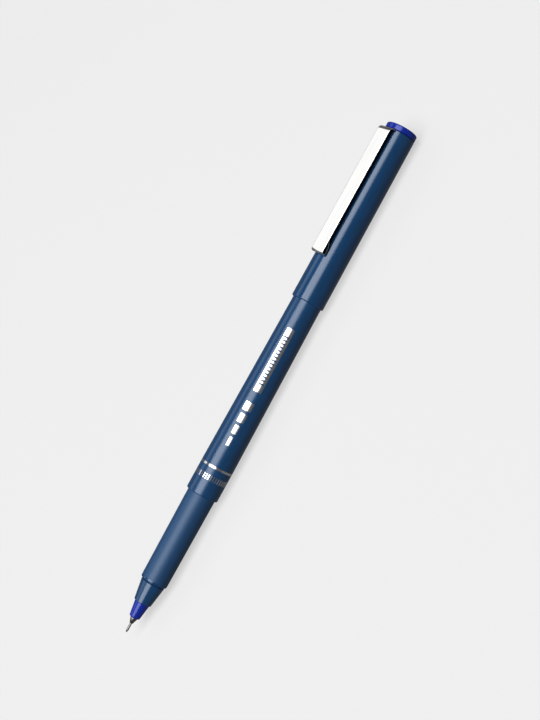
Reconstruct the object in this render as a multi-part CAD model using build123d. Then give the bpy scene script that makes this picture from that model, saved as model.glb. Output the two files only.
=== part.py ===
from build123d import *
from math import atan2, degrees
import os

# A fineliner pen with its cap posted on the rear of its barrel, lying on a table, clip upwards.
# The pen is worked out along the X axis, with its writing point at x = 0, its radii about that
# axis and its clip towards +Z. All pieces are then moved to the part's own frame: X from the point
# to the cap's end, Z up, and the origin on the table under the middle of the pen. Millimetres.

# Gaps between pieces
SEAT_GAP = 0.02         # on the radius, between pieces that are pressed or glued together
POST_GAP = 0.05         # on the radius, between the barrel's tail and the cap that slides on it
SEAL_GAP = 0.03         # on the radius, between the nose and the inner cap when the pen is capped
RESERVOIR_GAP = 0.05    # on the radius, between the reservoir and what guides it
FOOT_GAP = 0.10         # between the clip's foot and the cap

# Nib: a bonded fibre in a steel tube, held by a steel cone
POINT_R = 0.24          # fibre at the writing point
POINT_ROUND = 0.18
POINT_SHOWN = 0.55      # fibre in front of the tube
FEED_R = 0.60           # fibre behind the tube
FEED_DEPTH = 8.0        # fibre inside the reservoir
TUBE_WALL = 0.06
TUBE_SHOWN = 2.05       # tube in front of the cone
TUBE_SEAT = 1.85        # tube inside the cone
CONE_LIP = 0.11         # cone's wall around the tube, at its front
CONE_WALL = 0.43        # cone's wall around the fibre, at its rear
CONE_SHOWN = 1.7
CONE_SEAT = 4.0         # cone's stem inside the tip holder

# Tip holder, the tapered collar that carries the nib
HOLDER_FACE = 0.40      # front face around the cone
HOLDER_ROUND = 0.40
HOLDER_WALL = 0.83      # stem's wall around the cone's stem
HOLDER_SHOULDER = 0.22  # collar's rear edge over its stem
HOLDER_SHOWN = 4.5
HOLDER_STEM_L = 8.0

# Nose section: a cone in front and a core that carries the grip and enters the barrel
NOSE_STEP = 0.30        # nose's front edge over the tip holder
NOSE_ROUND = 0.25
NOSE_SHOULDER = 0.20    # nose's rear edge over the core
NOSE_REAR_ROUND = 0.14
NOSE_SHOWN = 5.75
NECK_L = 0.25           # groove between the nose and the grip
NECK_DEPTH = 0.40       # groove below the core
CORE_WALL = 0.60
SPIGOT_L = 9.0          # core inside the barrel

# Grip sleeve
GRIP_FRONT_WALL = 0.555
GRIP_REAR_WALL = 0.755
GRIP_ROUND = 0.40
GRIP_L = 26.3

# Reservoir and the film around it
FILM_R = 2.5
FILM_T = 0.08
RESERVOIR_AHEAD = 2.0   # from the tip holder's stem to the reservoir

# Barrel: a plain collar in front, then a taper to the tail, with guide ribs inside
COLLAR_WALL = 1.33
COLLAR_L = 8.5
BARREL_ROUND = 0.30
BARREL_L = 82.0
TAIL_WALL = 0.67
RIB_COUNT = 6
RIB_W = 0.7
RIB_AHEAD = 0.5         # from the nose section's spigot to the ribs

# Barrel end plug
TAIL_FLANGE_T = 1.0
TAIL_ROUND = 0.50
TAIL_STEM_L = 6.0
TAIL_POST_R = 1.0
TAIL_POST_L = 3.3       # post that presses the reservoir forward

# Cap
CAP_MOUTH_WALL = 0.475
CAP_END_WALL = 0.505
MOUTH_ROUND = 0.38
MOUTH_EASE = 0.08       # inside edge of the mouth
WEB_T = 1.23            # wall across the cap, which the end plug snaps into
RIM_WALL = 0.60         # rim around the clip's ring

# Inner cap, a soft thimble that seals on the nose when the pen is capped
SEAL_SETBACK = 0.05     # from the nose's rear edge to the inner cap's mouth, when capped
SEAL_L = 1.2            # tapered seat in the inner cap's mouth
TAIL_ROOM = 0.88        # from the barrel's tail to the inner cap, when posted
POINT_ROOM = 4.9        # from the writing point to the inner cap's end, when capped
LINER_END_T = 0.8

# Cap end plug, a button with a snap stem
PLUG_INSET = 0.02
PLUG_T = 1.55
PLUG_SHOULDER_L = 0.37  # plug inside the rim, on the clip's ring
PLUG_SHOULDER_WALL = 0.70
RIM_GAP = 0.22          # open joint between the rim and the plug
PLUG_ROUND = 0.30
PLUG_STEM_R = 2.5
SNAP_STEP = 0.20
SNAP_L = 1.0
SNAP_ROOM = 0.6         # from the snap to the inner cap

# Clip, a strip bent over at the cap's end, with a curled foot
CLIP_T = 0.30
CLIP_W = 4.4
CLIP_L = 37.39
CLIP_BEND_R = 0.89      # inside the bend
ARM_GAP = 1.41          # between the arm and the cap, all along
SLIT_DEG = 6.0          # left open in the bend, so that the arm can turn about the bend's centre
LIP_L = 2.9             # curled foot
LIP_GAP = 0.06          # between the foot's edge and the arm

# Places along the pen, from the writing point
cone_front = POINT_SHOWN + TUBE_SHOWN
tube_rear = cone_front + TUBE_SEAT
holder_front = cone_front + CONE_SHOWN
cone_rear = holder_front + CONE_SEAT
nose_front = holder_front + HOLDER_SHOWN
holder_rear = nose_front + HOLDER_STEM_L
nose_rear = nose_front + NOSE_SHOWN
grip_front = nose_rear + NECK_L
barrel_front = grip_front + GRIP_L
core_rear = barrel_front + SPIGOT_L
collar_rear = barrel_front + COLLAR_L
barrel_rear = barrel_front + BARREL_L
tail_end = barrel_rear + TAIL_FLANGE_T
tail_stem_front = barrel_rear - TAIL_STEM_L
reservoir_front = holder_rear + RESERVOIR_AHEAD
reservoir_rear = tail_stem_front - TAIL_POST_L
liner_front = tail_end + TAIL_ROOM
cap_mouth = liner_front - SEAL_SETBACK - NECK_L - GRIP_L
liner_floor = cap_mouth + barrel_front + POINT_ROOM
liner_rear = liner_floor + LINER_END_T
web_front = liner_rear + SNAP_ROOM + SNAP_L
web_rear = web_front + WEB_T
ring_rear = web_rear + CLIP_T
cap_end = ring_rear + PLUG_SHOULDER_L
rim_rear = cap_end - RIM_GAP
pen_end = cap_end + PLUG_T

# Radii, from the fibre outwards
tube_r = POINT_R + SEAT_GAP + TUBE_WALL
cone_front_r = tube_r + SEAT_GAP + CONE_LIP
cone_r = FEED_R + SEAT_GAP + CONE_WALL
holder_front_r = cone_r + HOLDER_FACE
holder_stem_r = cone_r + SEAT_GAP + HOLDER_WALL
holder_rear_r = holder_stem_r + HOLDER_SHOULDER
nose_front_r = holder_rear_r + NOSE_STEP
core_bore_r = FILM_R + RESERVOIR_GAP
core_r = core_bore_r + CORE_WALL
nose_rear_r = core_r + NOSE_SHOULDER
socket_r = core_r + SEAT_GAP
collar_r = socket_r + COLLAR_WALL
tail_r = socket_r + TAIL_WALL


def between(x, start, start_r, end, end_r):
    """Radius at x on the straight line through two stations, also beyond them."""
    return start_r + (end_r - start_r) * (x - start) / (end - start)


def barrel_radius(x):
    """Outside radius of the barrel's taper at x."""
    return between(x, collar_rear, collar_r, barrel_rear, tail_r)


def nose_radius(x):
    """Outside radius of the nose cone at x."""
    return between(x, nose_front, nose_front_r, nose_rear, nose_rear_r)


mouth_bore_r = barrel_radius(cap_mouth) + POST_GAP
liner_seat_r = barrel_radius(liner_front) + POST_GAP
cap_mouth_r = mouth_bore_r + CAP_MOUTH_WALL
cap_end_r = liner_seat_r + CAP_END_WALL
ring_seat_r = cap_end_r - RIM_WALL


def cap_radius(x):
    """Outside radius of the cap at x."""
    return between(x, cap_mouth, cap_mouth_r, cap_end, cap_end_r)


# The clip's bend and foot, as radii and places of the strip's middle line
bend_r = CLIP_BEND_R + CLIP_T / 2
bend_x = ring_rear - CLIP_T - CLIP_BEND_R
arm_r = cap_radius(bend_x) + ARM_GAP + CLIP_T / 2
bend_z = arm_r - bend_r
clip_end = ring_rear - CLIP_L
foot_depth = ARM_GAP - FOOT_GAP
foot_r = foot_depth / 2
foot_x = clip_end + foot_r + CLIP_T / 2
arm_lean = degrees(atan2(cap_mouth_r - cap_end_r, cap_end - cap_mouth))


def turned(*corners):
    """Solid turned about the pen's axis from corners (x, radius) or (x, radius, rounding)."""
    points = [corner[:2] for corner in corners]
    rounds = [corner[2] if len(corner) > 2 else 0 for corner in corners]
    return revolve(make_face(FilletPolyline(*points, radius=rounds, close=True)), Axis.X)


def nib_fibre():
    """Fibre that writes: thin in the tube, thick behind it, and sunk into the reservoir."""
    rear = reservoir_front + FEED_DEPTH
    return turned((0, 0), (0, POINT_R, POINT_ROUND), (tube_rear, POINT_R), (tube_rear, FEED_R),
                  (rear, FEED_R), (rear, 0))


def nib_tube():
    """Steel needle around the fibre."""
    bore_r = POINT_R + SEAT_GAP
    return turned((POINT_SHOWN, bore_r), (POINT_SHOWN, tube_r), (tube_rear, tube_r), (tube_rear, bore_r))


def nib_cone():
    """Steel cone that holds the needle, with a stem inside the tip holder."""
    needle_bore_r = tube_r + SEAT_GAP
    feed_bore_r = FEED_R + SEAT_GAP
    return turned((cone_front, needle_bore_r), (cone_front, cone_front_r), (holder_front, cone_r),
                  (cone_rear, cone_r), (cone_rear, feed_bore_r), (tube_rear, feed_bore_r),
                  (tube_rear, needle_bore_r))


def tip_holder():
    """Tapered collar with a bore for the nib and a stem inside the nose section."""
    cone_bore_r = cone_r + SEAT_GAP
    feed_bore_r = FEED_R + SEAT_GAP
    return turned((holder_front, cone_bore_r), (holder_front, holder_front_r, HOLDER_ROUND),
                  (nose_front, holder_rear_r), (nose_front, holder_stem_r),
                  (holder_rear, holder_stem_r), (holder_rear, feed_bore_r),
                  (cone_rear, feed_bore_r), (cone_rear, cone_bore_r))


def nose_section():
    """Nose cone, and behind a groove the core."""
    stem_bore_r = holder_stem_r + SEAT_GAP
    neck_r = core_r - NECK_DEPTH
    return turned((nose_front, stem_bore_r), (nose_front, nose_front_r, NOSE_ROUND),
                  (nose_rear, nose_rear_r, NOSE_REAR_ROUND), (nose_rear, neck_r), (grip_front, neck_r),
                  (grip_front, core_r), (core_rear, core_r), (core_rear, core_bore_r),
                  (holder_rear, core_bore_r), (holder_rear, stem_bore_r))


def grip_sleeve():
    """Sleeve on the core, from the neck behind the nose to the barrel."""
    front_r = socket_r + GRIP_FRONT_WALL
    rear_r = socket_r + GRIP_REAR_WALL
    return turned((grip_front, socket_r), (grip_front, front_r, GRIP_ROUND),
                  (barrel_front, rear_r), (barrel_front, socket_r))


def ink_reservoir():
    """Fibre rod that holds the ink, with a hole for the nib's fibre."""
    outside_r = FILM_R - FILM_T - SEAT_GAP
    hole_r = FEED_R + SEAT_GAP
    hole_end = reservoir_front + FEED_DEPTH
    return turned((reservoir_front, hole_r), (reservoir_front, outside_r), (reservoir_rear, outside_r),
                  (reservoir_rear, 0), (hole_end, 0), (hole_end, hole_r))


def reservoir_film():
    """Film sleeve around the reservoir."""
    inside_r = FILM_R - FILM_T
    return turned((reservoir_front, inside_r), (reservoir_front, FILM_R), (reservoir_rear, FILM_R),
                  (reservoir_rear, inside_r))


def barrel():
    """Barrel tube with the ribs that guide the reservoir and leave room for air."""
    tube = turned((barrel_front, socket_r), (barrel_front, collar_r, BARREL_ROUND),
                  (collar_rear, collar_r), (barrel_rear, tail_r), (barrel_rear, socket_r))
    rib_front = core_rear + RIB_AHEAD
    rib_l = reservoir_rear - rib_front
    rib_foot = core_bore_r
    rib_top = socket_r + TAIL_WALL / 2
    rib = Pos(rib_front + rib_l / 2, 0, (rib_foot + rib_top) / 2) * Box(rib_l, RIB_W, rib_top - rib_foot)
    for number in range(RIB_COUNT):
        tube += Rot(X=360 * number / RIB_COUNT) * rib
    return tube


def barrel_end_plug():
    """Plug in the barrel's tail, with a post against the reservoir."""
    stem_r = socket_r - SEAT_GAP
    return turned((reservoir_rear, 0), (reservoir_rear, TAIL_POST_R), (tail_stem_front, TAIL_POST_R),
                  (tail_stem_front, stem_r), (barrel_rear, stem_r), (barrel_rear, tail_r),
                  (tail_end, tail_r, TAIL_ROUND), (tail_end, 0))


def cap_tube():
    """Cap with a tapered bore, a web across its end, and a seat and a notch for the clip."""
    stem_hole_r = PLUG_STEM_R + SEAT_GAP
    shell = turned((cap_mouth, mouth_bore_r, MOUTH_EASE), (cap_mouth, cap_mouth_r, MOUTH_ROUND),
                   (rim_rear, cap_radius(rim_rear)), (rim_rear, ring_seat_r), (web_rear, ring_seat_r),
                   (web_rear, stem_hole_r), (web_front, stem_hole_r), (web_front, liner_seat_r),
                   (liner_front, liner_seat_r))
    notch_l = rim_rear - web_rear
    notch = Pos(rim_rear - notch_l / 2, 0, bend_z / 2) * Box(notch_l, CLIP_W + 2 * SEAT_GAP, bend_z)
    return shell - notch


def inner_cap():
    """Thimble in the cap: its mouth has the nose's taper, and its floor closes it."""
    outside_r = liner_seat_r - SEAT_GAP
    lip_r = nose_radius(nose_rear - SEAL_SETBACK) + SEAL_GAP
    bore_r = nose_radius(nose_rear - SEAL_SETBACK - SEAL_L) + SEAL_GAP
    return turned((liner_front, lip_r), (liner_front, outside_r), (liner_rear, outside_r),
                  (liner_rear, 0), (liner_floor, 0), (liner_floor, bore_r),
                  (liner_front + SEAL_L, bore_r))


def cap_end_plug():
    """Button on the cap's end, with a shoulder on the clip's ring and a stem that snaps in behind the web."""
    plug_r = cap_end_r - PLUG_INSET
    shoulder_r = PLUG_STEM_R + PLUG_SHOULDER_WALL
    snap_r = PLUG_STEM_R + SNAP_STEP
    snap_front = web_front - SNAP_L
    return turned((snap_front, 0), (snap_front, PLUG_STEM_R), (web_front, snap_r),
                  (web_front, PLUG_STEM_R), (ring_rear, PLUG_STEM_R), (ring_rear, shoulder_r),
                  (cap_end, shoulder_r), (cap_end, plug_r),
                  (pen_end, plug_r, PLUG_ROUND), (pen_end, 0))


def clip_root():
    """Clip's ring under the end plug, and its tongue out through the notch to the bend."""
    ring_r = ring_seat_r - SEAT_GAP
    ring = turned((web_rear, PLUG_STEM_R + SEAT_GAP), (web_rear, ring_r), (ring_rear, ring_r),
                  (ring_rear, PLUG_STEM_R + SEAT_GAP))
    tongue_start = (PLUG_STEM_R + ring_r) / 2
    tongue_l = bend_z - tongue_start
    tongue = Pos(ring_rear - CLIP_T / 2, 0, tongue_start + tongue_l / 2) * Box(CLIP_T, CLIP_W, tongue_l)
    return ring + tongue


def clip_arm():
    """Clip's bend, straight arm and curled foot, as one strip of even thickness.

    It is drawn level and then leans about the bend's centre, so that the arm goes along the cap's taper.
    """
    bend = CenterArc((bend_x, bend_z), bend_r, SLIT_DEG, 90 - SLIT_DEG)
    arm = Line((bend_x, arm_r), (foot_x, arm_r))
    curl = CenterArc((foot_x, arm_r - foot_r), foot_r, 90, 180)
    lip_rise = foot_depth - CLIP_T - LIP_GAP
    lip = ThreePointArc(curl @ 1, (foot_x + LIP_L / 2, arm_r - foot_depth + lip_rise / 4),
                        (foot_x + LIP_L, arm_r - foot_depth + lip_rise))
    strip = trace(Wire([bend, arm, curl, lip]), CLIP_T)
    lean = Pos(bend_x, bend_z) * Rot(Z=-arm_lean) * Pos(-bend_x, -bend_z)
    return extrude(Plane.XZ * lean * strip, CLIP_W / 2, both=True)


PIECES = (nib_fibre, nib_tube, nib_cone, tip_holder, nose_section, grip_sleeve, ink_reservoir,
          reservoir_film, barrel, barrel_end_plug, cap_tube, inner_cap, cap_end_plug, clip_root, clip_arm)

table_z = max(collar_r, cap_mouth_r)
to_frame = Pos(-pen_end / 2, 0, table_z)
os.makedirs("parts", exist_ok=True)
for piece in PIECES:
    export_step(to_frame * piece(), f"parts/{piece.__name__}.step")

print(f"length {pen_end:.2f}, axis {table_z:.3f} over the table, collar radius {collar_r:.3f}")
print(f"cap mouth at x {cap_mouth - pen_end / 2:.3f}, cap end at x {cap_end - pen_end / 2:.3f}")
print(f"clip bend at x {bend_x - pen_end / 2:.3f}, z {bend_z + table_z:.3f}")
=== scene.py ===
"""Fineliner pen with its cap posted, lying clip up on a pale table: its surfaces, prints and studio."""

import logging
import math
from collections.abc import Callable, Sequence
from dataclasses import dataclass, replace
from enum import Enum

import bpy
import numpy as np
from mathutils import Matrix, Vector

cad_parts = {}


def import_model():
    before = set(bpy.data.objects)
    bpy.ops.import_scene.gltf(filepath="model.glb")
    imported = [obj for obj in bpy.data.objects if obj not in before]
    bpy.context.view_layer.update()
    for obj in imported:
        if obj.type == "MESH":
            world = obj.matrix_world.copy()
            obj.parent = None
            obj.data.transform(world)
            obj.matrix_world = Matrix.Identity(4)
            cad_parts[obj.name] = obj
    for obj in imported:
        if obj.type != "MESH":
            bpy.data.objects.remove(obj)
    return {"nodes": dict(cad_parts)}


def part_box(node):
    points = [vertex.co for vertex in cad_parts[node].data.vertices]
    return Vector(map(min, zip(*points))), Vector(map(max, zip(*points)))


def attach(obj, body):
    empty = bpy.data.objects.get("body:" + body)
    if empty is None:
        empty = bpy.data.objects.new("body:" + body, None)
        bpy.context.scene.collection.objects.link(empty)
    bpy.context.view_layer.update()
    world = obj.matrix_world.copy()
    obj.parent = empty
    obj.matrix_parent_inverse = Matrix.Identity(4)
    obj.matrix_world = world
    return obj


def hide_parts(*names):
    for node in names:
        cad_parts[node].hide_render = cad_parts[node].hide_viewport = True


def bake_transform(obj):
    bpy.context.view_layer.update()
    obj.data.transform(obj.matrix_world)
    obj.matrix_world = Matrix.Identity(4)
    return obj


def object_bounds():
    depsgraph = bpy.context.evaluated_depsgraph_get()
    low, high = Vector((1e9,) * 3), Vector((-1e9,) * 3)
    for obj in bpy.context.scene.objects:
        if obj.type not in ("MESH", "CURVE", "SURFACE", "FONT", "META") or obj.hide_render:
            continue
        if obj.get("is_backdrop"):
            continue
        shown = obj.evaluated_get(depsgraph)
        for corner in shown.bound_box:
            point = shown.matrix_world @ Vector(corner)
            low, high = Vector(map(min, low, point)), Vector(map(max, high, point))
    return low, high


LOG = logging.getLogger("fineliner")
MM = 0.001                  # one millimetre in the scene's metres
ROUND_COLUMNS = 144         # columns of points round a turned piece
CORNER_STEPS = 8            # straight pieces in a rounded corner
PLATE_STEP_DEG = 2.5        # widest step round the axis in a plate on a turned piece
MERGE_M = 1e-9              # points closer than this are one vertex
SHARP_DEG = 32.0            # edges that turn more than this stay crisp
GRAIN_SPAN = (0.3, 0.7)     # values of the noise that a finish stretches over its whole range

Span = tuple[float, float]  # two values: a start and an end


class Body(Enum):
    """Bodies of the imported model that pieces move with."""

    PEN = "pen"
    CAP = "cap"
    CLIP = "clip"


class Slot(Enum):
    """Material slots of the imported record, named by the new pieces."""

    NAVY_GLOSS = "navy_gloss"
    NAVY_SATIN = "navy_satin"
    BLUE = "blue_plastic"
    CLIP_STEEL = "clip_steel"
    NIB_STEEL = "nib_steel"
    INK_FIBRE = "ink_fibre"
    LINER = "liner_plastic"


def linear(colour: str) -> tuple[float, float, float, float]:
    """Linear RGBA of an sRGB colour, which is six hex digits after a hash sign."""
    channels = np.array([int(colour[k:k + 2], 16) for k in (1, 3, 5)]) / 255
    bent = np.where(channels <= 0.04045, channels / 12.92, ((channels + 0.055) / 1.055) ** 2.4)
    return (*bent.tolist(), 1.0)


def empty_tree(owner: bpy.types.Material | bpy.types.World) -> bpy.types.NodeTree:
    """Node tree of a material or a world, without its first nodes."""
    owner.use_nodes = True
    owner.node_tree.nodes.clear()
    return owner.node_tree


def add_node(tree: bpy.types.NodeTree, kind: str, settings: dict | None = None,
             values: dict | None = None, links: dict | None = None) -> bpy.types.Node:
    """Adds a node with its settings, socket values and incoming links.

    Args:
        tree: Node tree that gets the node.
        kind: Blender's name for the node type.
        settings: Node properties by name.
        values: Input socket values by socket name or index.
        links: Output sockets to link from, by input socket name or index.

    Returns:
        The new node.
    """
    node = tree.nodes.new(kind)
    for key, value in (settings or {}).items():
        setattr(node, key, value)
    for key, value in (values or {}).items():
        node.inputs[key].default_value = value
    for key, source in (links or {}).items():
        tree.links.new(source, node.inputs[key])
    return node


@dataclass(frozen=True)
class Finish:
    """A surface: its colours, its shine and the grain that its making leaves.

    The grain is noise on the part's own coordinates, stretched so that one grain has its real size along X, Y
    and Z. It moves the colour from colour to shade, the roughness from its first to its second value, and the
    surface by relief_mm.
    """

    name: str
    colour: str
    shade: str
    roughness: Span
    grain_mm: tuple[float, float, float]
    relief_mm: float
    metallic: float = 0.0
    ior: float = 1.5
    layers: float = 2.0
    see_through: float = 0.0
    shine_tint: str = "#FFFFFF"

    def material(self) -> bpy.types.Material:
        """Node material of this finish, made once.

        Returns:
            The material.
        """
        found = bpy.data.materials.get(self.name)
        if found:
            return found
        made = bpy.data.materials.new(self.name)
        tree = empty_tree(made)
        scale = [1 / (size * MM) for size in self.grain_mm]
        place = add_node(tree, "ShaderNodeTexCoord")
        stretch = add_node(tree, "ShaderNodeMapping", values={"Scale": scale},
                           links={"Vector": place.outputs["Object"]})
        grain = add_node(tree, "ShaderNodeTexNoise", values={"Scale": 1.0, "Detail": self.layers},
                         links={"Vector": stretch.outputs["Vector"]})
        even = add_node(tree, "ShaderNodeMapRange",
                        values={"From Min": GRAIN_SPAN[0], "From Max": GRAIN_SPAN[1]},
                        links={"Value": grain.outputs["Fac"]})
        tint = add_node(tree, "ShaderNodeMix", {"data_type": "RGBA"},
                        {"A": linear(self.colour), "B": linear(self.shade)},
                        {"Factor": even.outputs["Result"]})
        shine = add_node(tree, "ShaderNodeMapRange",
                         values={"To Min": self.roughness[0], "To Max": self.roughness[1]},
                         links={"Value": even.outputs["Result"]})
        bump = add_node(tree, "ShaderNodeBump", values={"Distance": self.relief_mm * MM},
                        links={"Height": grain.outputs["Fac"]})
        surface = add_node(tree, "ShaderNodeBsdfPrincipled",
                           values={"Metallic": self.metallic, "Transmission Weight": self.see_through,
                                   "Specular Tint": linear(self.shine_tint)},
                           links={"Base Color": tint.outputs["Result"], "Roughness": shine.outputs["Result"],
                                  "Normal": bump.outputs["Normal"]})
        if not self.metallic:
            surface.inputs["IOR"].default_value = self.ior
        add_node(tree, "ShaderNodeOutputMaterial", links={"Surface": surface.outputs["BSDF"]})
        return made


# ABS from a polished mould: a deep even navy. Its sharp reflections waver a little where the wall shrank.
POLISHED_ABS = Finish("abs_navy_polished_mould", "#154573", "#13416C", (0.14, 0.17), (5.0, 2.0, 2.0), 0.002,
                      ior=1.58, shine_tint="#E7F1FA")
# The same ABS from a mould that was polished less: its reflections have softer edges.
GLOSS_ABS = replace(POLISHED_ABS, name="abs_navy_gloss_mould", roughness=(0.22, 0.25))
# ABS from a spark-eroded mould: a fine matt grain that spreads the light into one broad soft band.
# The real grain is near 0.03 mm, and is drawn 0.12 mm wide so that it shows.
ETCHED_ABS = Finish("abs_navy_etched_mould", "#1C4A77", "#18436D", (0.44, 0.52), (0.12, 0.12, 0.12), 0.0012,
                    ior=1.56, layers=3.0, shine_tint="#E7F1FA")
# Polypropylene, moulded in ink blue: glossy, but softer than ABS, so that its reflections blur a little.
MOULDED_PP = Finish("polypropylene_ink_blue_moulded", "#1831A7", "#152D9A", (0.11, 0.15), (3.0, 1.5, 1.5),
                    0.002, ior=1.54, shine_tint="#C2CBFF")
# Nickel-plated spring steel, rolled and polished: a bright mirror with faint lines along the strip.
PLATED_STEEL = Finish("spring_steel_nickel_plated", "#F3F3F2", "#E9E9E7", (0.10, 0.15), (12.0, 0.16, 0.16),
                      0.0002, metallic=1.0)
# Painted shade: the same steel on the strip's inner face, coloured a dull dark grey so that the clip's
# underside and its reflection in the cap below it read dark.
SHADE_DARKENED_STEEL = Finish("spring_steel_painted_shade_dark", "#565553", "#464543", (0.30, 0.40), (6.0, 0.10, 0.10), 0.0006,
                      metallic=1.0)
# The same steel where it was sheared, under its plating: a torn grey edge that blurs what it reflects.
SHEARED_STEEL = Finish("spring_steel_sheared_plated", "#B2B1AE", "#9C9B98", (0.28, 0.38), (0.4, 0.10, 0.10),
                       0.0006, metallic=1.0)
# Stainless steel, turned on a lathe: grey, with fine rings round the axis that break up the reflections.
# The rings of the real tool marks are near 0.02 mm apart, and are drawn 0.07 mm apart so that they show.
TURNED_STEEL = Finish("stainless_steel_turned", "#84827F", "#6C6A67", (0.20, 0.28), (0.07, 9.0, 9.0), 0.0006,
                      metallic=1.0)
# Aluminium foil, hot-stamped onto the barrel: a bright silver, a little uneven where the stamp pressed.
STAMPED_FOIL = Finish("aluminium_foil_hot_stamped", "#DFE0E2", "#CFD0D3", (0.12, 0.20), (0.5, 0.3, 0.3),
                      0.0004, metallic=1.0)
# Bonded acrylic fibre, soaked with ink: near black, matt, with fine strands along the pen.
INKED_FIBRE = Finish("acrylic_fibre_ink_soaked", "#15152A", "#090912", (0.55, 0.75), (0.8, 0.05, 0.05), 0.004)
# Bundled polyester fibre, soaked with ink: deep blue strands along the rod.
RESERVOIR_FIBRE = Finish("polyester_fibre_ink_soaked", "#1C2C8A", "#121C5C", (0.70, 0.90), (3.0, 0.08, 0.08),
                         0.006)
# Polypropylene film, drawn: clear and glossy, with faint lines along the draw.
DRAWN_FILM = Finish("polypropylene_film_drawn", "#E6EAEE", "#DDE2E8", (0.08, 0.14), (9.0, 0.4, 0.4), 0.0005,
                    ior=1.49, see_through=0.9)
# Natural low-density polyethylene, moulded: milky white and waxy.
NATURAL_LDPE = Finish("polyethylene_natural_moulded", "#DADCDC", "#CDD0D1", (0.38, 0.48), (1.2, 0.8, 0.8),
                      0.003, ior=1.51)


@dataclass(frozen=True)
class Shell:
    """A closed surface as vertices and faces, before it becomes a mesh, with the grid column of each quad."""

    vertices: np.ndarray
    quads: np.ndarray
    triangles: np.ndarray
    quad_columns: np.ndarray


def closed_shell(points: np.ndarray, joined_rows: bool) -> Shell:
    """Closed surface over a grid of points, with its faces outwards.

    Neighbours in the grid are joined by quads, and the last column to the first. Points that coincide become
    one vertex, so a row that shrinks to a point closes the surface: its quads become triangles, or vanish.

    Args:
        points: Grid of places, rows by columns by 3, in metres.
        joined_rows: Whether the last row is joined to the first. If not, both shrink to their middles.

    Returns:
        The surface, turned so that its signed volume is positive.
    """
    rows, columns = points.shape[:2]
    if not joined_rows:
        points = points.copy()
        for row in (0, -1):
            points[row] = points[row].mean(axis=0)
    flat = points.reshape(-1, 3)
    _, first, ids = np.unique(np.round(flat / MERGE_M), axis=0, return_index=True, return_inverse=True)
    ids = ids.reshape(rows, columns)
    if joined_rows:
        ids = np.vstack([ids, ids[:1]])
    ids = np.hstack([ids, ids[:, :1]])
    quads = np.stack([ids[:-1, :-1], ids[1:, :-1], ids[1:, 1:], ids[:-1, 1:]], axis=-1).reshape(-1, 4)
    quad_columns = np.arange(len(quads)) % columns
    repeats = quads == np.roll(quads, -1, axis=1)
    pinched = repeats.sum(axis=1) == 1
    whole = ~repeats.any(axis=1)
    triangles = quads[pinched][~repeats[pinched]].reshape(-1, 3)
    quads, quad_columns = quads[whole], quad_columns[whole]
    vertices = flat[first]
    fans = np.concatenate([quads[:, [0, 1, 2]], quads[:, [0, 2, 3]], triangles])
    corner = vertices[fans]
    if np.einsum("ij,ij->", corner[:, 0], np.cross(corner[:, 1], corner[:, 2])) < 0:
        quads, triangles = quads[:, ::-1], triangles[:, ::-1]
    return Shell(vertices, quads, triangles, quad_columns)


def rounded(corners: Sequence[Sequence[float]], steps: int = CORNER_STEPS) -> np.ndarray:
    """Closed outline whose corners are rounded where they say so.

    With half the angle between a corner's sides called h, its arc starts at rounding / tan(h) from the
    corner, and the arc's centre lies on the sides' bisector at rounding / sin(h).

    Args:
        corners: Corners in order, each two coordinates and, where it is rounded, a radius.
        steps: Straight pieces in each arc.

    Returns:
        Points of the outline, one row each.
    """
    places = np.array([corner[:2] for corner in corners], float)
    radii = [corner[2] if len(corner) > 2 else 0.0 for corner in corners]
    outline = []
    for before, here, after, radius in zip(np.roll(places, 1, 0), places, np.roll(places, -1, 0), radii):
        if not radius:
            outline.append(here[None])
            continue
        back = (before - here) / np.linalg.norm(before - here)
        on = (after - here) / np.linalg.norm(after - here)
        half = math.acos(float(back @ on)) / 2
        inward = (back + on) / np.linalg.norm(back + on)
        across = (on - back) / np.linalg.norm(on - back)
        turn = np.linspace(-1, 1, steps + 1)[:, None] * (math.pi / 2 - half)
        centre = here + inward * radius / math.sin(half)
        outline.append(centre + radius * (np.sin(turn) * across - np.cos(turn) * inward))
    return np.concatenate(outline)


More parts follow.
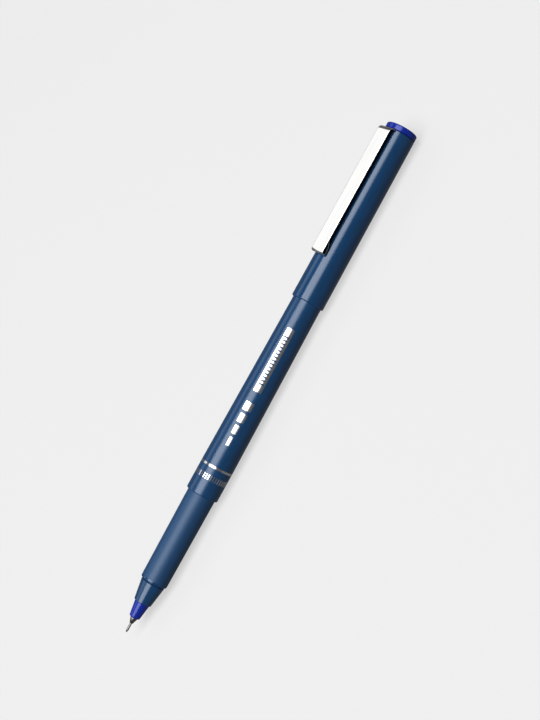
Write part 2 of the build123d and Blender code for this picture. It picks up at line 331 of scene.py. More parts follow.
@dataclass(frozen=True)
class PenLine:
    """The pen's axis in the frame, and the place of points given along it and round it."""

    point_x: float
    height: float

    @classmethod
    def from_frame(cls, low: Vector) -> "PenLine":
        """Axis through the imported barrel's middle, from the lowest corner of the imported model's box."""
        bottom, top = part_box("barrel")
        return cls(low.x, (bottom.z + top.z) / 2)

    def place(self, along: np.ndarray, radius: np.ndarray, angle: np.ndarray) -> np.ndarray:
        """Places of points on turned surfaces.

        A point goes to x = along, y = -radius sin(angle) and z = radius cos(angle) from the writing point's
        axis, so angles count from straight up towards -Y.

        Args:
            along: Millimetres from the writing point.
            radius: Millimetres from the axis.
            angle: Radians from straight up.

        Returns:
            Array of places in metres, as large as the three arguments together.
        """
        along, radius, angle = np.broadcast_arrays(along, radius, angle)
        return np.stack([self.point_x + along * MM, -radius * np.sin(angle) * MM,
                         self.height + radius * np.cos(angle) * MM], axis=-1)

    def turned(self, *corners: Sequence[float]) -> Shell:
        """Closed outline of (along, radius, rounding) corners, carried once round the axis."""
        outline = rounded(corners)
        angles = np.arange(ROUND_COLUMNS) * (2 * math.pi / ROUND_COLUMNS)
        return closed_shell(self.place(outline[:, :1], outline[:, 1:], angles[None]), joined_rows=True)

    def plate(self, radius: Callable[[np.ndarray], np.ndarray], along: Span, angle: Span, lift: float,
              sink: float) -> Shell:
        """Thin closed plate that lies on a turned surface.

        Its section goes out along one angle range at radius + lift and back at radius - sink, and is carried
        from one end of the along range to the other, where it closes.

        Args:
            radius: Radius of the surface under the plate, by millimetres along the pen.
            along: Where the plate starts and ends, in millimetres from the writing point.
            angle: Where it starts and ends round the axis, in radians.
            lift: Millimetres that it stands proud.
            sink: Millimetres that it reaches into the surface.

        Returns:
            The plate.
        """
        steps = max(2, math.ceil(abs(angle[1] - angle[0]) / math.radians(PLATE_STEP_DEG)) + 1)
        sweep = np.linspace(angle[0], angle[1], steps)
        round_section = np.concatenate([sweep, sweep[::-1]])
        proud = np.concatenate([np.full(steps, lift), np.full(steps, -sink)])
        ends = np.array([along[0], along[0], along[1], along[1]])[:, None]
        points = self.place(ends, radius(ends) + proud[None], round_section[None])
        return closed_shell(points, joined_rows=False)


def add_object(name: str, data: bpy.types.ID) -> bpy.types.Object:
    """New object of the scene with the given data."""
    made = bpy.data.objects.new(name, data)
    bpy.context.scene.collection.objects.link(made)
    return made


def add_piece(body: Body | None, name: str, shells: Sequence[Shell], finish: Finish, slot: Slot,
              *nodes: str) -> bpy.types.Object:
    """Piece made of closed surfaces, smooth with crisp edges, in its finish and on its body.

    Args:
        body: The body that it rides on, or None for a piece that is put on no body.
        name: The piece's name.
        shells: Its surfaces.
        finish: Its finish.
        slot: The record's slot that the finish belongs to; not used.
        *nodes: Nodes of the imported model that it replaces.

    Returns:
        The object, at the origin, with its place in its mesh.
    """
    starts = np.cumsum([0] + [len(shell.vertices) for shell in shells[:-1]])
    vertices = np.concatenate([shell.vertices for shell in shells])
    faces = [face for shell, start in zip(shells, starts)
             for face in (shell.quads + start).tolist() + (shell.triangles + start).tolist()]
    mesh = bpy.data.meshes.new(name)
    mesh.from_pydata(vertices.tolist(), [], faces)
    mesh.shade_smooth()
    mesh.set_sharp_from_angle(angle=math.radians(SHARP_DEG))
    mesh.materials.append(finish.material())
    piece = add_object(name, mesh)
    even = piece.modifiers.new("even_normals", "WEIGHTED_NORMAL")
    even.keep_sharp = True
    if nodes:
        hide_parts(*nodes)
    if body:
        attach(piece, body.value)
    LOG.info("%s: %s, %d triangles", name, finish.name, sum(len(face) - 2 for face in faces))
    return piece


@dataclass(frozen=True)
class Nib:
    """Writing point: a fibre in a steel needle, and the steel cone that holds the needle. Millimetres."""

    line: PenLine
    fibre_r: float = 0.24
    fibre_round: float = 0.18
    feed_r: float = 0.60
    feed_end: float = 26.8
    needle_front: float = 0.55
    needle_rear: float = 4.45
    needle_bore: float = 0.26
    needle_r: float = 0.32
    needle_round: float = 0.04
    cone_front: float = 2.60
    cone_rear: float = 8.30
    cone_shoulder: float = 4.30
    cone_front_r: float = 0.45
    cone_r: float = 1.05
    cone_round: float = 0.05
    gap: float = 0.02

    def build(self) -> None:
        """Makes the fibre, the needle and the cone."""
        fibre = self.line.turned(
            (0, 0), (0, self.fibre_r, self.fibre_round), (self.needle_rear, self.fibre_r),
            (self.needle_rear, self.feed_r), (self.feed_end, self.feed_r), (self.feed_end, 0))
        needle = self.line.turned(
            (self.needle_front, self.needle_bore), (self.needle_front, self.needle_r, self.needle_round),
            (self.needle_rear, self.needle_r), (self.needle_rear, self.needle_bore))
        needle_seat = self.needle_r + self.gap
        feed_seat = self.feed_r + self.gap
        cone = self.line.turned(
            (self.cone_front, needle_seat), (self.cone_front, self.cone_front_r, self.cone_round),
            (self.cone_shoulder, self.cone_r), (self.cone_rear, self.cone_r), (self.cone_rear, feed_seat),
            (self.needle_rear, feed_seat), (self.needle_rear, needle_seat))
        add_piece(Body.PEN, "writing_fibre", [fibre], INKED_FIBRE, Slot.INK_FIBRE, "nib_fibre")
        add_piece(Body.PEN, "steel_needle", [needle], TURNED_STEEL, Slot.NIB_STEEL, "nib_tube")
        add_piece(Body.PEN, "steel_cone", [cone], TURNED_STEEL, Slot.NIB_STEEL, "nib_cone")


@dataclass(frozen=True)
class FrontSection:
    """Blue collar, navy nose cone and satin grip. Millimetres from the writing point, and radii."""

    line: PenLine
    holder_front: float = 4.30
    holder_front_r: float = 1.45
    holder_round: float = 0.40
    holder_rear_r: float = 2.12
    holder_stem_r: float = 1.90
    holder_stem_end: float = 16.8
    holder_bore: float = 1.07
    feed_bore: float = 0.62
    cone_rear: float = 8.30
    nose_front: float = 8.80
    nose_front_r: float = 2.42
    nose_round: float = 0.18
    nose_rear: float = 14.66
    nose_rear_r: float = 3.35
    nose_rear_round: float = 0.22
    neck_r: float = 3.00            # lowest line of the groove between the nose and the grip
    core_r: float = 3.15
    core_bore: float = 2.55
    core_end: float = 50.1
    grip_front: float = 14.92
    grip_front_r: float = 3.725
    grip_round: float = 0.32
    lip: float = 0.70               # length of the grip's front edge that the mould's etching leaves polished
    grip_rear: float = 41.1
    grip_rear_r: float = 3.925
    edge: float = 0.05
    gap: float = 0.02

    def build(self) -> None:
        """Makes the collar, the nose and the grip."""
        holder = self.line.turned(
            (self.holder_front, self.holder_bore),
            (self.holder_front, self.holder_front_r, self.holder_round),
            (self.nose_front, self.holder_rear_r), (self.nose_front, self.holder_stem_r),
            (self.holder_stem_end, self.holder_stem_r), (self.holder_stem_end, self.feed_bore),
            (self.cone_rear, self.feed_bore), (self.cone_rear, self.holder_bore))
        stem_seat = self.holder_stem_r + self.gap
        nose = self.line.turned(
            (self.nose_front, stem_seat), (self.nose_front, self.nose_front_r, self.nose_round),
            (self.nose_rear, self.nose_rear_r, self.nose_rear_round), (self.nose_rear, self.neck_r),
            (self.grip_front, self.core_r), (self.core_end, self.core_r), (self.core_end, self.core_bore),
            (self.holder_stem_end, self.core_bore), (self.holder_stem_end, stem_seat))
        core_seat = self.core_r + self.gap
        lip_end = self.grip_front + self.lip
        lip_r = np.interp(lip_end, [self.grip_front, self.grip_rear], [self.grip_front_r, self.grip_rear_r])
        grip = self.line.turned(
            (self.grip_front, core_seat), (self.grip_front, self.grip_front_r, self.grip_round),
            (lip_end, lip_r), (self.grip_rear, self.grip_rear_r, self.edge), (self.grip_rear, core_seat))
        add_piece(Body.PEN, "blue_collar", [holder], MOULDED_PP, Slot.BLUE, "tip_holder")
        add_piece(Body.PEN, "nose_cone", [nose], POLISHED_ABS, Slot.NAVY_GLOSS, "nose_section")
        sleeve = add_piece(Body.PEN, "satin_grip", [grip], ETCHED_ABS, Slot.NAVY_SATIN, "grip_sleeve")
        sleeve.data.materials.append(POLISHED_ABS.material())
        polished = grip.vertices[grip.quads, 0].max(axis=1) < self.line.point_x + (lip_end + self.edge) * MM
        sleeve.data.polygons.foreach_set("material_index", polished.astype(np.int32))


@dataclass(frozen=True)
class Barrel:
    """Tapered barrel with its ribs and end plug, and the silver prints on it. Millimetres."""

    line: PenLine
    front: float = 41.1
    front_round: float = 0.30
    collar_rear: float = 49.6
    collar_r: float = 4.50
    rear: float = 123.1
    rear_r: float = 3.84
    bore: float = 3.17
    edge: float = 0.05
    rib_count: int = 6
    rib_width: float = 0.70
    rib_front: float = 50.6
    rib_rear: float = 113.8
    rib_foot: float = 2.55
    rib_root: float = 0.10          # how far a rib reaches into the wall
    plug_end: float = 124.1
    plug_round: float = 0.50
    plug_stem: float = 3.15
    plug_stem_front: float = 117.1
    plug_post: float = 1.0

    foil_lift: float = 0.012
    foil_sink: float = 0.010
    print_angle: float = 40.5       # degrees, where the prints face
    ring_middle: float = 49.30
    ring_width: float = 0.60
    scale_front: float = 45.65      # ring of fine strokes
    scale_length: float = 1.45
    scale_strokes: int = 40
    scale_share: float = 0.42       # of each step that a stroke takes
    bars_front: float = 55.9        # row of bars that grow, like line weights
    bar_length: float = 2.45
    bar_step: float = 3.40
    bar_widths: tuple[float, ...] = (0.9, 1.4, 1.9, 2.4)
    panel: Span = (71.7, 90.3)      # rectangle behind the bars, and the ticks across it
    panel_angles: Span = (26.9, 57.0)
    ticks: Span = (74.0, 87.8)
    tick_count: int = 15
    tick_width: float = 0.46
    tick_angles: Span = (33.0, 49.0)
    long_tick_angles: Span = (30.0, 52.0)
    long_tick_step: int = 7

    def radius(self, along: np.ndarray) -> np.ndarray:
        """Radius of the barrel: level on the collar, then an even taper to the tail."""
        return np.interp(along, [self.collar_rear, self.rear], [self.collar_r, self.rear_r])

    def build(self) -> None:
        """Makes the barrel, its ribs, its end plug and the prints."""
        tube = self.line.turned(
            (self.front, self.bore), (self.front, self.collar_r, self.front_round),
            (self.collar_rear, self.collar_r), (self.rear, self.rear_r, self.edge), (self.rear, self.bore))
        half_rib = self.rib_width / 2 / self.bore
        turns = np.arange(self.rib_count) * (2 * math.pi / self.rib_count)
        inside = self.bore - self.rib_foot
        ribs = [self.line.plate(lambda along: np.full_like(along, self.bore), (self.rib_front, self.rib_rear),
                                (turn - half_rib, turn + half_rib), self.rib_root, inside) for turn in turns]
        plug = self.line.turned(
            (self.rib_rear, 0), (self.rib_rear, self.plug_post), (self.plug_stem_front, self.plug_post),
            (self.plug_stem_front, self.plug_stem), (self.rear, self.plug_stem),
            (self.rear, self.rear_r, self.edge), (self.plug_end, self.rear_r, self.plug_round),
            (self.plug_end, 0))
        add_piece(Body.PEN, "barrel_tube", [tube, *ribs], GLOSS_ABS, Slot.NAVY_GLOSS, "barrel")
        add_piece(Body.PEN, "tail_plug", [plug], GLOSS_ABS, Slot.NAVY_GLOSS, "barrel_end_plug")
        panel = self.foil(self.panel, self.panel_angles)
        for name, shells in (("foil_ring", [self.ring()]), ("foil_strokes", self.strokes()),
                             ("foil_bars", self.bars()), ("foil_panel", [panel])):
            add_piece(Body.PEN, name, shells, STAMPED_FOIL, Slot.CLIP_STEEL)
        add_piece(Body.PEN, "panel_ticks", self.scale(), GLOSS_ABS, Slot.NAVY_GLOSS)

    def foil(self, along: Span, degrees: Span, layers: int = 1) -> Shell:
        """Foil on the barrel, over a length and a range of degrees; a second layer lies on the first."""
        return self.line.plate(self.radius, along, (math.radians(degrees[0]), math.radians(degrees[1])),
                               self.foil_lift * layers, self.foil_sink)

    def ring(self) -> Shell:
        """Foil band all the way round, where the collar ends."""
        front, rear = self.ring_middle - self.ring_width / 2, self.ring_middle + self.ring_width / 2
        low, high = self.collar_r - self.foil_sink, self.collar_r + self.foil_lift
        return self.line.turned((front, low), (front, high), (rear, high), (rear, low))

    def strokes(self) -> list[Shell]:
        """Plain fine strokes, evenly spaced round the collar."""
        step = 360 / self.scale_strokes
        along = (self.scale_front, self.scale_front + self.scale_length)
        return [self.foil(along, (step * k, step * (k + self.scale_share)))
                for k in range(self.scale_strokes)]

    def bars(self) -> list[Shell]:
        """Plain bars in a row along the barrel, each wider than the last."""
        starts = self.bars_front + self.bar_step * np.arange(len(self.bar_widths))
        halves = np.degrees(np.array(self.bar_widths) / 2 / self.radius(starts))
        return [self.foil((start, start + self.bar_length),
                          (self.print_angle - half, self.print_angle + half))
                for start, half in zip(starts.tolist(), halves.tolist())]

    def scale(self) -> list[Shell]:
        """Barrel-coloured ticks across the foil rectangle, every so many a longer one."""
        starts = np.linspace(self.ticks[0], self.ticks[1], self.tick_count) - self.tick_width / 2
        return [self.foil((start, start + self.tick_width),
                          self.tick_angles if k % self.long_tick_step else self.long_tick_angles, layers=2)
                for k, start in enumerate(starts.tolist())]


@dataclass(frozen=True)
class Cap:
    """Cap with its liner and its blue end plug. Millimetres from the writing point of the posted pen."""

    line: PenLine
    mouth: float = 98.38
    mouth_r: float = 4.586
    mouth_bore: float = 4.112
    mouth_round: float = 0.38
    mouth_ease: float = 0.08
    rim_rear: float = 148.46        # an open joint is left between the rim and the plug
    rim_r: float = 4.379
    end: float = 148.68
    edge: float = 0.08
    ring_seat: float = 3.778
    web_rear: float = 148.01
    web_front: float = 146.78
    stem_hole: float = 2.52
    liner_front: float = 124.98
    liner_seat: float = 3.873
    liner_rear: float = 145.18
    liner_floor: float = 144.38
    liner_r: float = 3.853
    liner_lip: float = 3.3719
    liner_bore: float = 3.1778
    liner_taper: float = 1.2
    liner_round: float = 0.15
    plug_end: float = 150.23
    plug_r: float = 4.358
    plug_round: float = 0.30
    plug_shoulder: float = 3.20
    plug_shoulder_front: float = 148.31
    plug_stem: float = 2.50
    snap_r: float = 2.70
    snap_front: float = 145.78
    notch_half: float = 2.22        # half of the slot in the rim that the clip comes out of
    notch_floor: float = 0.005      # how far the slot's floor stays above the web
    notch_wall: float = 0.003       # radians between the columns on both sides of a wall

    def build(self) -> None:
        """Makes the cap, its liner and its end plug."""
        liner = self.line.turned(
            (self.liner_front, self.liner_lip), (self.liner_front, self.liner_r, self.liner_round),
            (self.liner_rear, self.liner_r), (self.liner_rear, 0), (self.liner_floor, 0),
            (self.liner_floor, self.liner_bore, self.liner_round),
            (self.liner_front + self.liner_taper, self.liner_bore))
        plug = self.line.turned(
            (self.snap_front, 0), (self.snap_front, self.plug_stem), (self.web_front, self.snap_r),
            (self.web_front, self.plug_stem), (self.plug_shoulder_front, self.plug_stem),
            (self.plug_shoulder_front, self.plug_shoulder), (self.end, self.plug_shoulder),
            (self.end, self.plug_r, self.edge), (self.plug_end, self.plug_r, self.plug_round),
            (self.plug_end, 0))
        add_piece(Body.CAP, "cap_shell", [self.shell()], POLISHED_ABS, Slot.NAVY_GLOSS, "cap_tube")
        add_piece(Body.CAP, "cap_liner", [liner], NATURAL_LDPE, Slot.LINER, "inner_cap")
        add_piece(Body.CAP, "blue_end_plug", [plug], MOULDED_PP, Slot.BLUE, "cap_end_plug")

    def shell(self) -> Shell:
        """Cap tube with the slot for the clip in its rim.

        The tube's outline goes round the axis. Between the slot's walls, at asin(notch_half / radius) either
        side of straight up, the rim is lowered to the web, and columns close beside each wall make it steep.

        Returns:
            The tube.
        """
        outline = rounded([
            (self.mouth, self.mouth_bore, self.mouth_ease), (self.mouth, self.mouth_r, self.mouth_round),
            (self.rim_rear, self.rim_r, self.edge), (self.rim_rear, self.ring_seat),
            (self.web_rear, self.ring_seat), (self.web_rear, self.stem_hole),
            (self.web_front, self.stem_hole), (self.web_front, self.liner_seat),
            (self.liner_front, self.liner_seat)])
        along, radius = outline[:, :1], outline[:, 1:]
        wall = math.asin(self.notch_half / self.rim_r)
        even = np.linspace(-math.pi, math.pi, ROUND_COLUMNS, endpoint=False)
        beside = wall + self.notch_wall
        columns = np.unique(np.concatenate([even, [-beside, -wall, wall, beside]]))
        turn = np.abs(columns)
        rim = (along > self.web_rear + self.notch_floor) & (radius > self.ring_seat - self.edge)
        slot_angle = np.arcsin(self.notch_half / np.maximum(radius, self.ring_seat))
        share = np.clip(np.minimum(turn / wall, (math.pi - turn) / (math.pi - wall)), 0, 1)
        shift = np.where(rim, slot_angle - wall, 0.0) * np.sign(columns) * share
        lowered = rim & (turn[None] <= wall + self.notch_wall / 2)
        along = np.where(lowered, self.web_rear + self.notch_floor, along)
        return closed_shell(self.line.place(along, radius, columns[None] + shift), joined_rows=True)


@dataclass(frozen=True)
class Clip:
    """Sprung steel strip: a tongue out of the cap, a bend, a straight arm and a curled foot. Millimetres."""

    line: PenLine
    thickness: float = 0.30
    width: float = 4.40
    outer_edge: float = 0.18        # rounding that the stamping leaves on the outer face
    inner_edge: float = 0.06
    root_r: float = 3.758           # where the tongue leaves its ring
    ring_bore: float = 2.52
    ring_front: float = 148.01
    ring_rear: float = 148.31
    bend_x: float = 147.12
    bend_r: float = 1.04            # of the strip's middle line
    arm_r: float = 5.944            # of the arm's middle line, at the bend
    lean: float = 0.238             # degrees, the arm's rise towards the foot along the cap's taper
    foot_end: float = 110.92
    foot_depth: float = 1.31        # between the middle lines of the arm and the foot
    lip_length: float = 2.9
    lip_gap: float = 0.06
    arc_steps: int = 16
    edge_steps: int = 4

    def path(self) -> np.ndarray:
        """Middle line of the strip, as rows of distance along the pen and height over its axis.

        It rises straight out of the ring, turns a quarter circle towards the point, runs along the arm, turns
        a half circle down at the foot, and ends in a shallow arc that curls up again. What comes after the
        bend's start is drawn level and then leans about the bend's centre.

        Returns:
            Points in order from the ring to the end of the lip.
        """
        bend_z = self.arm_r - self.bend_r
        depth = self.foot_depth
        foot_r = depth / 2
        foot_x = self.foot_end + foot_r + self.thickness / 2
        centre = np.array([self.bend_x, bend_z])
        turn = np.linspace(0, math.pi / 2, self.arc_steps + 1)
        bend = centre + self.bend_r * np.stack([np.cos(turn), np.sin(turn)], axis=1)
        turn = np.linspace(math.pi / 2, 3 * math.pi / 2, 2 * self.arc_steps + 1)
        curl = [foot_x, self.arm_r - foot_r] + foot_r * np.stack([np.cos(turn), np.sin(turn)], axis=1)
        share = np.linspace(0, 1, self.arc_steps + 1)[1:]
        rise = depth - self.thickness - self.lip_gap
        lip = np.stack([foot_x + self.lip_length * share, self.arm_r - depth + rise * share ** 2], axis=1)
        cosine, sine = math.cos(math.radians(self.lean)), math.sin(math.radians(self.lean))
        level = np.concatenate([bend, curl, lip])
        leaning = (level - centre) @ np.array([[cosine, -sine], [sine, cosine]]) + centre
        foot = np.array([[self.bend_x + self.bend_r, self.root_r], [self.bend_x + self.bend_r, bend_z]])
        return np.concatenate([foot, leaning[1:]])

    def build(self) -> None:
        """Makes the ring, and the strip, which runs from the cap to the clip and is put on no body."""
        ring = self.line.turned((self.ring_front, self.ring_bore), (self.ring_front, self.root_r),
                                (self.ring_rear, self.root_r), (self.ring_rear, self.ring_bore))
        add_piece(Body.CAP, "clip_ring", [ring], PLATED_STEEL, Slot.CLIP_STEEL, "clip_root")
        shell = self.strip()
        strip = add_piece(None, "clip_strip", [shell], PLATED_STEEL, Slot.CLIP_STEEL, "clip_root", "clip_arm")
        strip.data.materials.append(SHADE_DARKENED_STEEL.material())
        strip.data.materials.append(SHEARED_STEEL.material())
        # Each corner of the section has edge_steps + 1 columns, and the sides end the second and the fourth.
        plated, painted_shade, sheared = range(3)
        first_side, last_side = (corners * (self.edge_steps + 1) - 1 for corners in (2, 4))
        columns = shell.quad_columns
        # Columns past the first side, the strip's inner face, get the darkened steel: painted shade.
        finishes = np.where(columns < first_side, plated, painted_shade)
        finishes[np.isin(columns, (first_side, last_side))] = sheared
        finishes = np.append(finishes, np.full(len(shell.triangles), sheared))
        strip.data.polygons.foreach_set("material_index", finishes.astype(np.int32))
        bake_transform(strip)

    def strip(self) -> Shell:
        """Rounded rectangular section carried along the middle line, and closed at both ends.

        A section point (across, through) goes to the path's point, plus across along Y, plus through along
        the path's normal.

        Returns:
            The strip.
        """
        path = self.path()
        tangent = np.gradient(path, axis=0)
        tangent /= np.linalg.norm(tangent, axis=1, keepdims=True)
        normal = np.stack([-tangent[:, 1], tangent[:, 0]], axis=1)
        half_w, half_t = self.width / 2, self.thickness / 2
        section = rounded([
            (-half_w, -half_t, self.outer_edge), (half_w, -half_t, self.outer_edge),
            (half_w, half_t, self.inner_edge), (-half_w, half_t, self.inner_edge)], self.edge_steps)
        rows = np.concatenate([[0], np.arange(len(path)), [len(path) - 1]])
        offset = path[rows][:, None] + section[None, :, 1:] * normal[rows][:, None]
        across = np.broadcast_to(section[None, :, 0] * MM, offset.shape[:2])
        along, height = self.line.point_x + offset[..., 0] * MM, self.line.height + offset[..., 1] * MM
        return closed_shell(np.stack([along, across, height], axis=-1), joined_rows=False)


@dataclass(frozen=True)
class Inside:
    """Ink reservoir and its film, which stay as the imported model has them."""

    nodes: dict[str, bpy.types.Object]

    def build(self) -> None:
        """Gives the hidden nodes their finishes."""
        for node, finish in (("ink_reservoir", RESERVOIR_FIBRE), ("reservoir_film", DRAWN_FILM)):
            materials = self.nodes[node].data.materials
            materials.clear()
            materials.append(finish.material())
            LOG.info("%s: %s, as packed", node, finish.name)


@dataclass(frozen=True)
class Studio:
    """Table, a key lamp with a fading edge, a strip lamp, dark cards and the camera. Metres and degrees."""

    line: PenLine
    pale: str = "#EFEFEF"           # the table and the room, as the camera sees them
    paper: str = "#ECECEC"          # the table's own colour
    table_glow: float = 0.60        # share of the table's look that is the room's even light, near the pen
    glow_reach: Span = (0.20, 0.80)     # where that share starts to grow, and where it is all
    table_size: float = 6.0
    table_drop: float = 0.00002
    room_light: float = 0.05
    key_direction: float = 16.0     # from straight up towards -Y
    key_distance: float = 1.20
    key_span: Span = (-22.8, 14.0)  # degrees from its direction that the key lamp fills
    edge_span: Span = (14.0, 28.0)  # its fading near edge, which shows in reflections alone
    key_ends: Span = (-0.95, 0.48)
    key_radiance: float = 4.7
    strip_direction: float = -44.0
    strip_distance: float = 1.20
    strip_span: Span = (-12.0, 12.0)
    strip_ends: Span = (-0.90, 0.45)
    strip_radiance: float = 1.03
    card_reach: float = 1.6         # from the middle to each upright card
    near_glow: float = 0.12
    far_glow: float = 0.13
    card_glow: float = 0.07         # of the cards at both ends
    card_height: float = 2.0
    under_glow: float = 0.18
    lens: float = 61.0
    sensor: float = 36.0
    camera_depth: Span = (0.01, 20.0)   # nearest and farthest that the camera sees
    camera_distance: float = 0.320
    camera_direction: float = 46.0
    pen_tilt: float = 28.81         # the pen's lean from the picture's upright
    aim_along: float = 80.60        # mm from the writing point
    aim_side: float = -1.32         # mm to the right of the axis in the picture

    def direction(self, degrees: float) -> Vector:
        """Unit vector at an angle from straight up towards -Y."""
        angle = math.radians(degrees)
        return Vector((0, -math.sin(angle), math.cos(angle)))

    def build(self) -> None:
        """Makes the table, the world, the lamps, the cards and the camera."""
        self.table()
        self.world()
        key = (self.key_direction, self.key_distance)
        strip = (self.strip_direction, self.strip_distance)
        self.lamp("key_lamp", key, self.key_span, self.key_ends, self.key_radiance)
        edge = self.lamp("key_edge_lamp", key, self.edge_span, self.key_ends, self.key_radiance)
        self.fade(edge.data)
        edge.visible_diffuse = False
        self.lamp("strip_lamp", strip, self.strip_span, self.strip_ends, self.strip_radiance)
        self.cards()
        self.camera()

    def sheet(self, name: str, corners: Sequence[Sequence[float]]) -> bpy.types.Object:
        """Flat stage object with four corners."""
        mesh = bpy.data.meshes.new(name)
        mesh.from_pydata(list(corners), [], [(0, 1, 2, 3)])
        sheet = add_object(name, mesh)
        sheet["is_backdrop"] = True
        return sheet

    def square(self, half: float, z: float) -> list[tuple[float, float, float]]:
        """Corners of a level square round the middle."""
        return [(-half, -half, z), (half, -half, z), (half, half, z), (-half, half, z)]

    def shown(self, tree: bpy.types.NodeTree) -> bpy.types.NodeSocket:
        """Socket that is 1 for what the camera sees, straight, in a reflection or through a clear piece."""
        rays = add_node(tree, "ShaderNodeLightPath").outputs
        seen = add_node(tree, "ShaderNodeMath", {"operation": "MAXIMUM"},
                        links={0: rays["Is Camera Ray"], 1: rays["Is Glossy Ray"]})
        return add_node(tree, "ShaderNodeMath", {"operation": "MAXIMUM"},
                        links={0: seen.outputs["Value"], 1: rays["Is Transmission Ray"]}).outputs["Value"]

    def table(self) -> None:
        """Pale matt table top under the pen: its paper takes the shadow, and its even glow softens it.

        The glow's share is table_glow near the pen, and grows evenly with the distance from it to 1, so that
        the table meets the room without an edge.
        """
        top = self.sheet("table_top", self.square(self.table_size / 2, -self.table_drop))
        paper = bpy.data.materials.new("paper_matt_pale")
        tree = empty_tree(paper)
        matt = add_node(tree, "ShaderNodeBsdfDiffuse", values={"Color": linear(self.paper)})
        glow = add_node(tree, "ShaderNodeEmission", values={"Color": linear(self.pale), "Strength": 1.0})
        place = add_node(tree, "ShaderNodeTexCoord")
        away = add_node(tree, "ShaderNodeVectorMath", {"operation": "LENGTH"},
                        links={0: place.outputs["Object"]})
        grown = add_node(tree, "ShaderNodeMapRange",
                         values={"From Min": self.glow_reach[0], "From Max": self.glow_reach[1],
                                 "To Min": self.table_glow, "To Max": 1.0},
                         links={"Value": away.outputs["Value"]})
        share = add_node(tree, "ShaderNodeMath", {"operation": "MULTIPLY"},
                         links={0: grown.outputs["Result"], 1: self.shown(tree)})
        both = add_node(tree, "ShaderNodeMixShader",
                        links={0: share.outputs["Value"], 1: matt.outputs["BSDF"],
                               2: glow.outputs["Emission"]})
        add_node(tree, "ShaderNodeOutputMaterial", links={"Surface": both.outputs["Shader"]})
        top.data.materials.append(paper)
        top.visible_diffuse = False

    def world(self) -> None:
        """Pale surroundings for the camera and for reflections, and a low even light for the rest."""
        world = bpy.data.worlds.new("pale_room")
        tree = empty_tree(world)
        strength = add_node(tree, "ShaderNodeMapRange", values={"To Min": self.room_light, "To Max": 1.0},
                            links={"Value": self.shown(tree)})
        glow = add_node(tree, "ShaderNodeBackground", values={"Color": linear(self.pale)},
                        links={"Strength": strength.outputs["Result"]})
        add_node(tree, "ShaderNodeOutputWorld", links={"Surface": glow.outputs["Background"]})
        bpy.context.scene.world = world

    def lamp(self, name: str, place: Span, span: Span, ends: Span, radiance: float) -> bpy.types.Object:
        """Rectangular lamp along the pen that fills an angle as seen from the pen.

        It lies in the plane that is square to its direction, and reaches there from distance times the
        tangent of the span's start to distance times the tangent of its end.

        Args:
            name: The lamp's name.
            place: Its direction in degrees from straight up towards -Y, and its distance from the axis.
            span: Degrees from that direction at which it starts and ends.
            ends: Where it starts and ends along the pen.
            radiance: How bright its face is.

        Returns:
            The lamp.
        """
        degrees, distance = place
        low, high = (distance * math.tan(math.radians(angle)) for angle in span)
        data = bpy.data.lights.new(name, "AREA")
        data.shape = "RECTANGLE"
        data.size = ends[1] - ends[0]
        data.size_y = high - low
        data.energy = radiance * math.pi * data.size * data.size_y
        lamp = add_object(name, data)
        back = self.direction(degrees)
        along = Vector((1, 0, 0))
        across = back.cross(along)
        turned = Matrix((along, across, back)).transposed().to_4x4()
        middle = Vector(((ends[0] + ends[1]) / 2, 0, self.line.height))
        centre = middle + back * distance - across * (low + high) / 2
        lamp.matrix_world = Matrix.Translation(centre) @ turned
        return lamp

    def fade(self, data: bpy.types.AreaLight) -> None:
        """Lets a lamp fade evenly across its width, from full at one side to nothing at the other."""
        data.use_nodes = True
        tree = data.node_tree
        place = add_node(tree, "ShaderNodeNewGeometry")
        across = add_node(tree, "ShaderNodeSeparateXYZ", links={"Vector": place.outputs["Parametric"]})
        tree.links.new(across.outputs["Y"], tree.nodes["Emission"].inputs["Strength"])

    def card(self, name: str, corners: Sequence[Sequence[float]], strength: float) -> bpy.types.Object:
        """Dark card that is seen in reflections alone.

        Args:
            name: Its name.
            corners: Its corners in order.
            strength: How bright its face is.

        Returns:
            The card.
        """
        card = self.sheet(name, corners)
        felt = bpy.data.materials.new(name + "_dark_felt")
        tree = empty_tree(felt)
        light = add_node(tree, "ShaderNodeEmission", values={"Color": (1, 1, 1, 1), "Strength": strength})
        add_node(tree, "ShaderNodeOutputMaterial", links={"Surface": light.outputs["Emission"]})
        card.data.materials.append(felt)
        card.visible_camera = False
        card.visible_diffuse = False
        card.visible_shadow = False
        card.visible_transmission = False
        return card

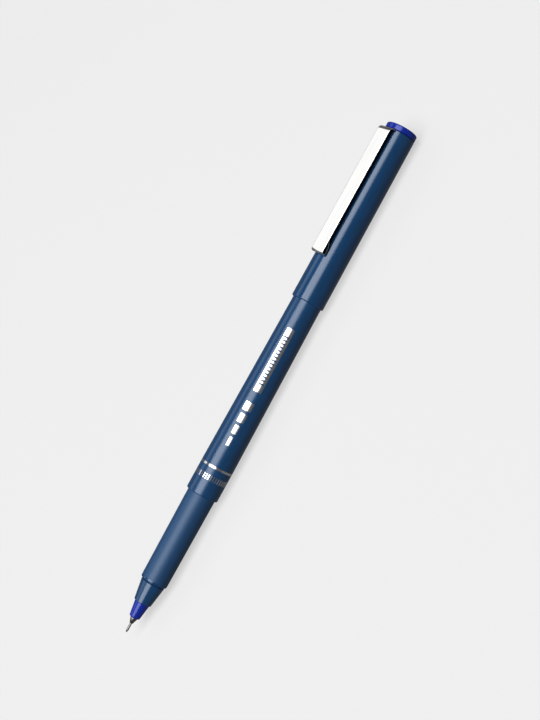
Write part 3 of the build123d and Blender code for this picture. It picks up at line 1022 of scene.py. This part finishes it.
    def cards(self) -> None:
        """Dark cards round and under the pen. The one under it also lights the pen's underside a little.

        The near card reaches up to the key lamp's fading edge, and the far one to the lamp's other edge.
        """
        reach = self.card_reach
        near_top = reach / math.tan(math.radians(self.key_direction + self.edge_span[1]))
        far_top = -reach / math.tan(math.radians(self.key_direction + self.key_span[0]))
        for name, strength, start, end, top in (
                ("card_near", self.near_glow, (-reach, -reach), (reach, -reach), near_top),
                ("card_far", self.far_glow, (-reach, reach), (reach, reach), far_top),
                ("card_front", self.card_glow, (-reach, -reach), (-reach, reach), self.card_height),
                ("card_back", self.card_glow, (reach, -reach), (reach, reach), self.card_height)):
            self.card(name, [(*start, 0), (*end, 0), (*end, top), (*start, top)], strength)
        under = self.card("card_under", self.square(reach, -self.table_drop / 2), self.under_glow)
        under.visible_diffuse = True

    def camera(self) -> None:
        """Camera square to the pen, rolled so that the pen leans as in the photograph.

        The picture's right is the pen's direction times sin(tilt) plus its side times cos(tilt), and the
        picture's up is the direction times cos(tilt) minus the side times sin(tilt).
        """
        data = bpy.data.cameras.new("camera")
        data.lens, data.sensor_width = self.lens, self.sensor
        data.clip_start, data.clip_end = self.camera_depth
        camera = add_object("camera", data)
        back = self.direction(self.camera_direction)
        along = Vector((1, 0, 0))
        side = along.cross(back)
        tilt = math.radians(self.pen_tilt)
        right = along * math.sin(tilt) + side * math.cos(tilt)
        up = along * math.cos(tilt) - side * math.sin(tilt)
        middle = Vector((self.line.point_x + self.aim_along * MM, 0, self.line.height))
        aim = middle + side * self.aim_side * MM
        turned = Matrix((right, up, back)).transposed().to_4x4()
        camera.matrix_world = Matrix.Translation(aim + back * self.camera_distance) @ turned
        bpy.context.scene.camera = camera


def main() -> None:
    """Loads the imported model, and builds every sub-assembly and the studio."""
    logging.basicConfig(level=logging.INFO, format="%(name)s: %(message)s")
    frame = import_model()
    packed_low, packed_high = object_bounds()
    bpy.context.scene.view_settings.view_transform = "Standard"
    line = PenLine.from_frame(packed_low)
    for assembly in (Nib, FrontSection, Barrel, Cap, Clip):
        assembly(line).build()
    Inside(frame["nodes"]).build()
    Studio(line).build()


if __name__ == "__main__":
    main()
